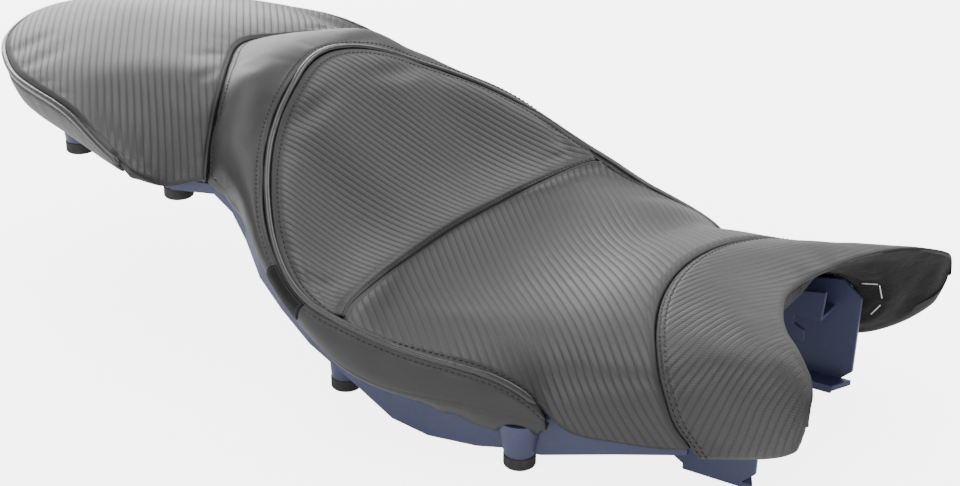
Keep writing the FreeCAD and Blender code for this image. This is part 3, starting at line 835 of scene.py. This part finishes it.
def pan_plastic():
    """Navy polypropylene with a spark-eroded grain, rounded edges and faint flow."""
    g = Graph("pan_plastic")
    edge = g.rounded(0.0009, 6)
    grain = g.noise(2200.0, 3.0)
    flow = g.noise(11.0, 5.0, 0.65)
    dust = g.noise(160.0, 4.0, 0.7)
    normal = g.bump(grain, 0.00006, 0.6, edge)
    normal = g.bump(flow, 0.002, 0.12, normal)
    colour = g.mix(g.ramp(flow, 0.3, 0.7), (0.034, 0.041, 0.092, 1), (0.046, 0.054, 0.116, 1))
    colour = g.mix(g.ramp(dust, 0.55, 0.8, 0, 0.18), colour, (0.10, 0.12, 0.18, 1))
    return g.set(Base_Color=colour, Roughness=g.ramp(flow, 0.3, 0.7, 0.34, 0.46),
                 Normal=normal, Specular_IOR_Level=0.5)


def foot_rubber():
    """Black rubber with dust on it."""
    g = Graph("foot_rubber")
    edge = g.rounded(0.0008)
    grain = g.noise(1400.0, 4.0)
    dust = g.noise(90.0, 5.0, 0.7)
    colour = g.mix(g.ramp(dust, 0.45, 0.75, 0, 0.5), grey(0.014), grey(0.055))
    return g.set(Base_Color=colour, Roughness=0.72, Normal=g.bump(grain, 0.0001, 0.7, edge))


def metal(name, base, rough):
    """Bare or plated metal, stained in patches."""
    g = Graph(name)
    edge = g.rounded(0.0005)
    stain = g.noise(120.0, 5.0, 0.6)
    fine = g.noise(900.0, 3.0)
    dark = tuple(c * 0.72 for c in base[:3]) + (1,)
    colour = g.mix(g.ramp(stain, 0.35, 0.7), base, dark)
    return g.set(Base_Color=colour, Metallic=1.0, Normal=g.bump(fine, 0.00004, 0.5, edge),
                 Roughness=g.ramp(stain, 0.3, 0.7, rough, rough + 0.15))


def thread():
    """Twisted black thread, with painted glints on the ridges of its twist."""
    g = Graph("thread")
    turns = g.node("ShaderNodeTexWave", {"Scale": 900.0, "Distortion": 1.0,
                                         "Vector": g.place()}).outputs["Fac"]
    # The twist's ridges are painted lighter than the black thread: painted glints.
    colour = g.mix(turns, grey(0.009), grey(0.06))
    return g.set(Base_Color=colour, Roughness=0.55, Normal=g.bump(turns, 0.0001, 0.8),
                 Sheen_Weight=0.08)


def tag_fabric(pitch=0.45):
    """Blank woven label: dark ground, a lighter line round its border."""
    g = Graph("tag_fabric")
    lengthwise, crosswise = g.pattern()
    warp = g.wave(g.math("DIVIDE", lengthwise, pitch))
    weft = g.wave(g.math("DIVIDE", crosswise, pitch))
    weave = g.math("MULTIPLY", warp, weft)
    border = g.plain()
    band = g.math("MULTIPLY", g.ramp(border, 0.22, 0.26), g.ramp(border, 0.40, 0.36))
    colour = g.mix(weave, grey(0.003), grey(0.009))
    colour = g.mix(g.math("MULTIPLY", band, 0.5), colour, grey(0.05))
    return g.set(Base_Color=colour, Roughness=0.7, Normal=g.bump(weave, 0.00015, 0.8),
                 Sheen_Weight=0.05, Specular_IOR_Level=0.25)


def paint(obj, material):
    """Gives an object one material."""
    obj.data.materials.clear()
    obj.data.materials.append(material)
    return obj


def stand_for(node, obj):
    """The object takes a CAD piece's place."""
    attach(obj, "root")
    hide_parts(node)
    return obj


# ---------------------------------------------------------------- cords, threads and foam
def tube_faces(rings, around, base=0):
    """The faces of a closed tube made of rings of vertices, numbered from base."""
    faces = []
    for i in range(rings - 1):
        low, high = base + i * around, base + (i + 1) * around
        for a in range(around):
            b = (a + 1) % around
            faces.append((low + a, low + b, high + b, high + a))
    last = base + (rings - 1) * around
    faces.append(tuple(base + a for a in reversed(range(around))))
    faces.append(tuple(last + a for a in range(around)))
    return faces


def ring_points(centre, radius, across, up, around):
    """Points round a tube; radius may be one for each of them."""
    angle = np.linspace(0, 2 * math.pi, around, endpoint=False)
    spokes = np.cos(angle)[:, None] * across + np.sin(angle)[:, None] * up
    return centre + np.reshape(radius, (-1, 1)) * spokes


def stitches(name, points, ups, material, pitch=4.2, length=3.2, radius=0.36, lift=0.12,
             lean=0.22, rings=7, around=7):
    """Stitches along a line: short rounded threads that dive in at both ends."""
    s = arc(points)
    x = np.linspace(-1, 1, rings)
    rise = lift + radius * 0.9 - (lift + 2.2 * radius) * np.abs(x) ** 3
    spread = radius * np.sqrt(np.clip(1.02 - np.abs(x) ** 4, 0.05, 1))
    verts, faces = [], []
    for k in range(int(s[-1] / pitch)):
        start = (k + 0.5) * pitch - length / 2
        t = np.linspace(start, start + length, rings)
        path = between(t, s, points)
        up = between(t, s, ups)
        up /= np.linalg.norm(up, axis=1)[:, None]
        way = path[-1] - path[0]
        way /= np.linalg.norm(way)
        cross = np.cross(up, way)
        swing = lean * x + 0.1 * math.sin(k * 2.4)
        mid = path + up * rise[:, None] + cross * swing[:, None]
        faces += tube_faces(rings, around, len(verts))
        for i in range(rings):
            verts += ring_points(mid[i], spread[i], cross[i], up[i], around).tolist()
    obj = mesh_object(name, verts, faces)
    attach(obj, "root")
    return paint(obj, material)


def centre_line(node, guide, reach=5.0, step=1.6):
    """Middle of a CAD cord, followed along a guide line near it."""
    tree = point_tree(cad_faces(node)[0])
    line = []
    for p in guide:
        here = np.array(tree.find(p)[0])
        for _ in range(4):
            near = [q for q, _, _ in tree.find_range(here, reach)]
            here = np.array(near).mean(axis=0)
        line.append(here)
    line = np.array(line)
    for _ in range(12):
        line[1:-1] = (line[:-2] + 2 * line[1:-1] + line[2:]) / 4
    return resample(line, int(arc(line)[-1] / step))


def piping(name, node, guide, material, around=18):
    """Vinyl wrapped over a cord: a slightly uneven tube with fine cross wrinkles that
    thins out where the cord ends."""
    line = centre_line(node, guide)
    tangent = np.gradient(line, axis=0)
    tangent /= np.linalg.norm(tangent, axis=1)[:, None]
    across = np.cross(tangent, np.tile([0.0, 0.0, 1.0], (len(line), 1)))
    across /= np.linalg.norm(across, axis=1)[:, None]
    up = np.cross(across, tangent)
    taper = np.sqrt(np.clip(from_ends(line) / 5, 0.08, 1))
    angle = np.linspace(0, 2 * math.pi, around, endpoint=False)
    rings = []
    for k in range(len(line)):
        swell = 1 + 0.035 * perlin(Vector((k * 0.11, 0.3, 7.0)))
        wrinkles = [0.05 * perlin(Vector((k * 0.55, math.cos(a) * 1.2, math.sin(a) * 1.2)))
                    for a in angle]
        radius = CORD_R * taper[k] * (swell + np.array(wrinkles))
        rings.append(ring_points(line[k], radius, across[k], up[k], around))
    obj = mesh_object(name, rings, tube_faces(len(line), around))
    return paint(stand_for(node, obj), material)


def foam_block(name, node, material):
    """Moulded foam: soft arrises, a lumpy skin and the bubbles that broke at it."""
    obj = bpy.data.objects.new(name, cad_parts[node].data.copy())
    bpy.context.scene.collection.objects.link(obj)
    remesh = obj.modifiers.new("skin", "REMESH")
    remesh.mode = "VOXEL"
    remesh.voxel_size = 0.0034
    relax = obj.modifiers.new("relax", "SMOOTH")
    relax.iterations = 4
    shape = obj.evaluated_get(bpy.context.evaluated_depsgraph_get())
    mesh = bpy.data.meshes.new_from_object(shape)
    obj.modifiers.clear()
    obj.data = mesh
    co = read(mesh.vertices, "co", 3)
    lumps = [perlin(Vector(p * 60)) + 0.5 * perlin(Vector(p * 240)) for p in co.astype(float)]
    lift = np.array(lumps) * 0.0003 - 0.0006
    co += read(mesh.vertices, "normal", 3) * lift[:, None]
    mesh.vertices.foreach_set("co", co.ravel())
    mesh.polygons.foreach_set("use_smooth", np.ones(len(mesh.polygons), bool))
    mesh.update()
    return paint(stand_for(node, obj), material)


# ---------------------------------------------------------------- the seat
MATERIALS = {
    "carbon": carbon_vinyl(), "plain": plain_vinyl(), "felt": lining_felt(),
    "foam": seat_foam(), "piping": plain_vinyl("piping_vinyl", 0.010, 0.24, 0.00004, 0.35),
    "pan": pan_plastic(), "rubber": foot_rubber(), "thread": thread(), "tag": tag_fabric(),
    "zinc": metal("zinc_steel", (0.62, 0.62, 0.60, 1), 0.28),
    "brass": metal("insert_brass", (0.72, 0.52, 0.22, 1), 0.3),
    "wire": metal("staple_wire", (0.78, 0.78, 0.78, 1), 0.22)}

# The carbon-look panels.
pillion = cover("cover_pillion", "pillion_panel", FORWARD, {
    "first": (SEAM, 0.7, 3.0), "second": (FLANGE, 0.6, 4.0, (HEM, at_ends)),
    "right": (HEM, 1.2, 8.0), "left": (HEM, 1.2, 8.0)}, rib=-50,
    lines=[("step_pillion", "first", 1.2), ("rim", "second", 0.0)])

rear = cover("cover_rider_rear", "rider_rear_panel", FORWARD, {
    "first": (SEAM, 0.6, 2.2), "second": (FLANGE, 0.5, 4.0),
    "right": (SEAM, 0.6, 4.0), "left": (SEAM, 0.6, 4.0)}, rib=47,
    # The wide calm bands by the crossing seam and the welt are painted dark in the carbon vinyl:
    # painted shade where the cover rolls in.
    calm={"first": 9.0, "second": 6.0}, shape=folded_band,
    lines=[("cross_rear", "first", 1.6), ("welt", "second", 0.0),
           ("welt_inner", "second", 1.8)])

front = cover("cover_rider_front", "rider_front_panel", REARWARD, {
    "first": (ALLOWANCE, -1.2, 7.0), "second": (SEAM, 0.8, 4.0),
    "right": (BESIDE_CORD, 0.6, 4.0, (HEM, past_cord)),
    "left": (BESIDE_CORD, 0.6, 4.0, (HEM, past_cord))}, rib=-46,
    column_fine=0.9, calm={"first": 1.5},
    lines=[("front_right", "right", 1.6), ("front_left", "left", 1.6)])

nose_sheet = sheet_grid("nose_panel", REARWARD, soft=4)
nose = cover("cover_nose", "nose_panel", REARWARD, {
    "first": (SEAM, 0.9, 4.0), "second": (OPEN, 0.8, 4.0),
    "right": (HEM, 1.0, 6.0, (OPEN, at_corner)),
    "left": (HEM, 1.0, 6.0, (OPEN, at_corner))}, rib=62, sheet=nose_sheet,
    lines=[("nose_front", "first", 5.0), ("nose_ridge", "first", 1.4)])

for panel in (pillion, rear, front, nose):
    paint(panel, MATERIALS["carbon"])

# The smooth panels.
bolster = cover("cover_bolster", "bolster_panel", UP_FORWARD, {
    "first": (BESIDE_CORD, 0.4, 4.0),
    "second": (HEM, 0.2, 5.0, (TUCK, above_pan), (ALLOWANCE, near_step)),
    "right": (SEAM, 0.5, 4.0), "left": (SEAM, 0.5, 4.0)}, shape=pull_folds,
    flat_near="side_tag",
    lines=[("bolster_welt", "first", 0.0), ("bolster_stitch", "first", 2.6),
           ("step_bolster", "second", 6.0)])

band = cover("cover_pillion_band", "pillion_side_band", UP, {
    "first": (BESIDE_CORD, 0.4, 4.0), "second": (HEM, 1.0, 7.0),
    "right": (SEAM, 0.5, 4.0), "left": (SEAM, 0.5, 4.0)}, puff=1.2,
    lines=[("band_stitch", "first", 2.6)])

for panel in (bolster, band):
    paint(panel, MATERIALS["plain"])

lining = cover("lining_felt", "nose_lining", REARWARD, {
    "first": (RAW, 0.0, 2.0), "second": (RAW, 0.0, 2.0)}, side=-1, puff=1.0,
    shape=felt_relief, coarse=1.6, sheet=felt_sheet(nose_sheet))
paint(lining, MATERIALS["felt"])

# Cords and threads.
trim("step_bolster", near_line(LINES["step_bolster"][0], "step_pillion", 10, 15) > 0.5)
for name in ("front_right", "front_left"):
    trim(name, past_cord(LINES[name][0]) < 0.5)

piping("piping_pillion", "pillion_piping", LINES["rim"][0], MATERIALS["piping"])
piping("piping_rider", "rider_piping", LINES["bolster_welt"][0], MATERIALS["piping"])

for name, line in (("cross_seam", "cross_rear"), ("step_seam", "step_bolster"),
                   ("nose_seam", "nose_front"), ("nose_ridge", "nose_ridge"),
                   ("bolster_welt", "bolster_stitch"), ("rear_welt", "welt_inner"),
                   ("front_welt_right", "front_right"), ("front_welt_left", "front_left"),
                   ("pillion_band", "band_stitch")):
    stitches("stitches_" + name, *LINES[line], MATERIALS["thread"])

tag = cover("tag_blank", "side_tag", UP, {
    edge: (RAW, 0.15, 1.5) for edge in EDGES}, puff=0.3, cell=1.5, coarse=0.6, rib=0)
paint(tag, MATERIALS["tag"])

foam_block("foam_block", "foam_cushion", MATERIALS["foam"])

# The hard pieces keep their CAD shape.
for node, key in (("seat_pan", "pan"), ("latch_plate", "zinc"), ("latch_striker", "zinc"),
                  ("latch_washers", "zinc"), ("latch_screws", "zinc"),
                  ("latch_inserts", "brass"), ("front_feet", "rubber"),
                  ("middle_feet", "rubber"), ("pillion_feet", "rubber"),
                  ("rear_feet", "rubber"), ("nose_staples", "wire")):
    paint(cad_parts[node], MATERIALS[key])


# ---------------------------------------------------------------- stage, light, camera
def stage(bounce=0.35, shown=4.6):
    """A floor under the feet that shines: a little for the seat, white for the camera."""
    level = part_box("front_feet")[0].z
    bpy.ops.mesh.primitive_plane_add(size=14, location=(0.2, 0, level))
    floor = bpy.context.object
    floor.name = "floor"
    g = Graph("floor")
    seen = g.node("ShaderNodeLightPath").outputs["Is Camera Ray"]
    glow = g.ramp(seen, 0.0, 1.0, bounce, shown)
    paint(floor, g.set(Base_Color=grey(0.90), Roughness=0.8, Specular_IOR_Level=0.1,
                       Emission_Color=grey(1.0), Emission_Strength=glow))


def studio(strength):
    """White walls all round."""
    world = bpy.data.worlds.new("studio")
    bpy.context.scene.world = world
    world.use_nodes = True
    background = world.node_tree.nodes["Background"]
    background.inputs["Color"].default_value = (1, 1, 1, 1)
    background.inputs["Strength"].default_value = strength


def softbox(name, place, target, size, power):
    """A soft rectangular light, in metres and watts."""
    light = bpy.data.lights.new(name, "AREA")
    light.shape = "RECTANGLE"
    light.size, light.size_y = size
    light.energy = power
    obj = bpy.data.objects.new(name, light)
    obj.location = place
    obj.rotation_euler = (Vector(target) - Vector(place)).to_track_quat("-Z", "Y").to_euler()
    bpy.context.scene.collection.objects.link(obj)


def view_from(place, azimuth, elevation, lens):
    """A camera at a place in metres, facing azimuth and elevation in degrees."""
    camera = bpy.data.objects.new("camera", bpy.data.cameras.new("camera"))
    bpy.context.scene.collection.objects.link(camera)
    azimuth, elevation = math.radians(azimuth), math.radians(elevation)
    back = Vector((math.sin(azimuth) * math.cos(elevation),
                   -math.cos(azimuth) * math.cos(elevation), math.sin(elevation)))
    camera.location = place
    camera.rotation_mode = "QUATERNION"
    camera.rotation_quaternion = (-back).to_track_quat("-Z", "Y")
    camera.data.lens = lens
    camera.data.sensor_width = 36.0
    bpy.context.scene.camera = camera


stage()
studio(0.85)
softbox("key", (0.5, 1.5, 1.35), (0.15, 0, 0), (1.3, 1.0), 14)
softbox("overhead", (-0.4, -0.2, 2.0), (0.1, 0, 0), (1.8, 1.2), 20)
softbox("rim", (-1.8, 1.45, 0.7), (-0.1, 0, 0), (1.6, 0.9), 32)
softbox("near", (-0.2, -2.0, 0.9), (0.1, 0, 0), (1.8, 0.9), 14)
view_from((0.879, -0.980, 0.477), azimuth=32.8, elevation=24.0, lens=64.875)
